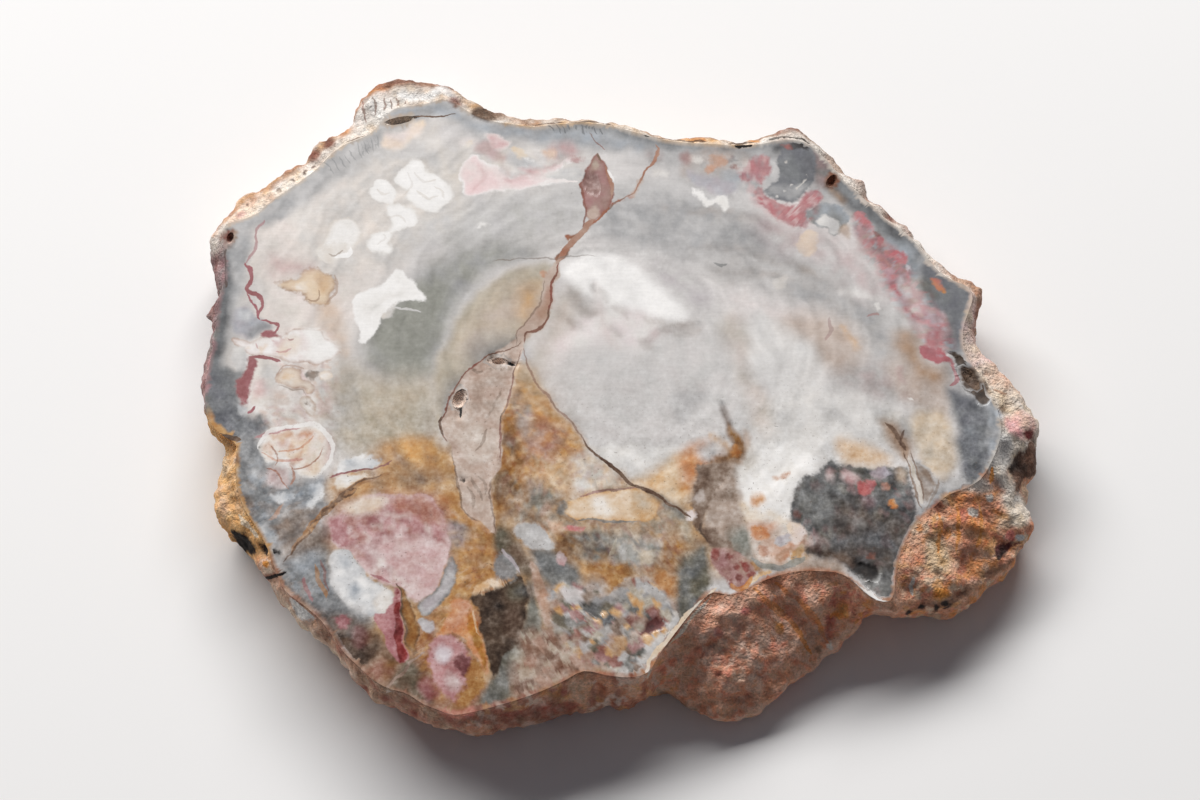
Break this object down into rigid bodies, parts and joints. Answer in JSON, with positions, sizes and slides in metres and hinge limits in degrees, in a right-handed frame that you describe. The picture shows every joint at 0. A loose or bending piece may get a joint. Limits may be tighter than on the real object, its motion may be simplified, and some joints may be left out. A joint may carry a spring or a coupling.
{
  "type": "petrified wood slice",
  "caption": "Flat slab of petrified wood with one polished agate face, a rim of rough stony bark and two broken knobs on its lower edge, lying on its sawn back.",
  "frame": {"origin": "centre of the slice's box, on the flat sawn base that it lies on", "axes": "+Z along the log's own axis, out of the polished face; +X along the slice's width, towards the orange knob; +Y across it, towards the white bark at the back"},
  "size_m": [0.099, 0.0828, 0.01],
  "materials": {
    "petrified_wood": "polished agate and opal on the upper face, in grey, cream, ochre and pink; rough brown and white stony bark around it; sawn and unpolished below"
  },
  "bodies": {
    "root": {"petrified_wood_slice": "petrified_wood"}
  },
  "joints": []
}
